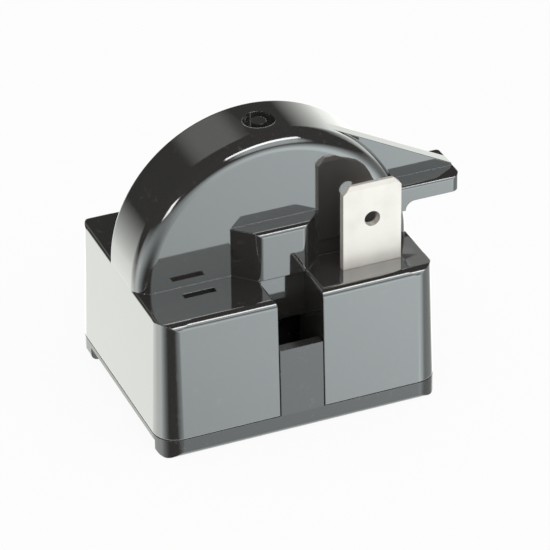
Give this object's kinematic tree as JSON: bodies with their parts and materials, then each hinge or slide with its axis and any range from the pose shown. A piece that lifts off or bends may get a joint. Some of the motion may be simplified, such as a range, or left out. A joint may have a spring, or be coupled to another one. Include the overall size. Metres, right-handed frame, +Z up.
{
  "type": "compressor start relay",
  "caption": "Plug-on starter for a refrigeration compressor: a moulded housing with a round drum for its ceramic disc, two pin sockets underneath and a blade terminal.",
  "frame": {"origin": "middle of the cover's flat underside, which is the face that lies against the compressor's terminals", "axes": "+X to the right along the front, towards the side lug; +Y from the notched front to the back; +Z up, from the cover to the drum's top"},
  "size_m": [0.0357, 0.024, 0.0303],
  "materials": {
    "black_plastic": "gloss",
    "cover_plastic": "gloss",
    "ceramic": "silvered ceramic",
    "spring_steel": "bright rolled",
    "tinned_brass": "tinned",
    "bare_brass": "rolled"
  },
  "bodies": {
    "root": {"housing": "black_plastic", "base_cover": "cover_plastic", "ceramic_disc": "ceramic", "front_contact_spring": "spring_steel", "back_contact_spring": "spring_steel", "blade_terminal": "tinned_brass", "run_pin_socket": "bare_brass", "start_pin_socket": "bare_brass", "run_socket_clip": "spring_steel", "start_socket_clip": "spring_steel", "blade_rivet": "bare_brass", "run_spring_rivet": "bare_brass", "start_spring_rivet": "bare_brass"}
  },
  "joints": []
}
